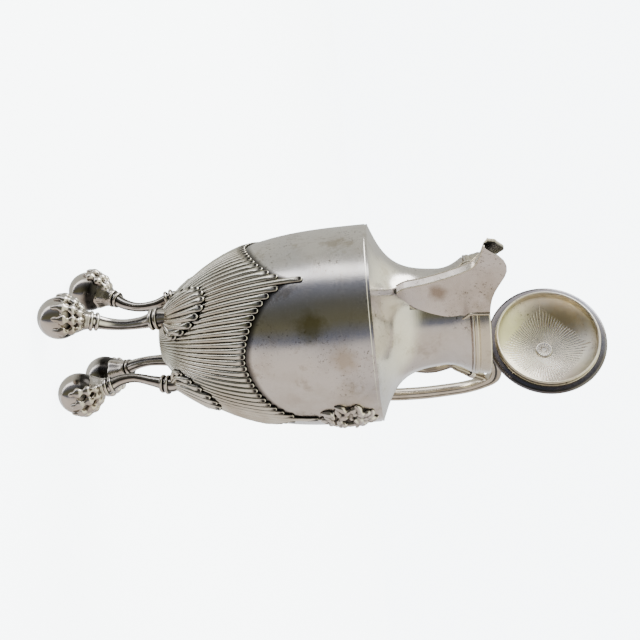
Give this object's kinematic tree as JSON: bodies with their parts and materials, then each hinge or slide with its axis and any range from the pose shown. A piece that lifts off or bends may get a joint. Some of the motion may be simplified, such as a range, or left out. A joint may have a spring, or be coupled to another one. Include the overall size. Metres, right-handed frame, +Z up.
{
  "type": "cream jug",
  "caption": "Footed metal cream jug with a beak spout, strap handle and hinged domed lid, shown standing with the lid resting open.",
  "frame": {"origin": "on the floor under the middle of the outline with the lid resting open; the body axis stands 11.55 mm to the +X side of it", "axes": "+Z up along the body axis, +X towards the spout, the handle and the lid hinge on the -X side, the hinge line along Y"},
  "size_m": [0.1162, 0.0784, 0.1985],
  "materials": {
    "silver": "worn polished silver plate",
    "silver_dark": "silver plate with dark tarnish in the recesses",
    "silver_warm": "yellow-toned silver plate"
  },
  "bodies": {
    "jug": {"bowl": "silver", "calyx": "silver_dark", "neck": "silver", "neck_bead": "silver", "mouth_band": "silver", "spout": "silver", "leg_front": "silver_dark", "leg_left": "silver_dark", "leg_back": "silver_dark", "leg_right": "silver_dark", "ball_front": "silver_dark", "ball_left": "silver_dark", "ball_back": "silver_dark", "ball_right": "silver_dark", "claw_front": "silver_dark", "claw_left": "silver_dark", "claw_back": "silver_dark", "claw_right": "silver_dark", "shell_front": "silver", "shell_left": "silver", "shell_back": "silver", "shell_right": "silver", "mask_left": "silver_dark", "mask_right": "silver_dark", "handle_strap": "silver", "handle_scroll": "silver_dark", "scroll_bead": "silver", "scroll_collar": "silver", "handle_leaf": "silver_dark", "hinge_ear_left": "silver", "hinge_ear_right": "silver", "hinge_pin": "silver"},
    "lid": {"lid_knuckle": "silver", "lid_flange": "silver", "lid_bezel": "silver_warm", "lid_dome": "silver", "lid_rosette": "silver_warm", "lid_finial": "silver"}
  },
  "joints": [
    {"name": "lid_hinge", "type": "hinge", "parent": "jug", "child": "lid", "pos_m": [-0.01265, 0, 0.1525], "axis": [0, 1, 0], "range_deg": [0, 92]}
  ]
}
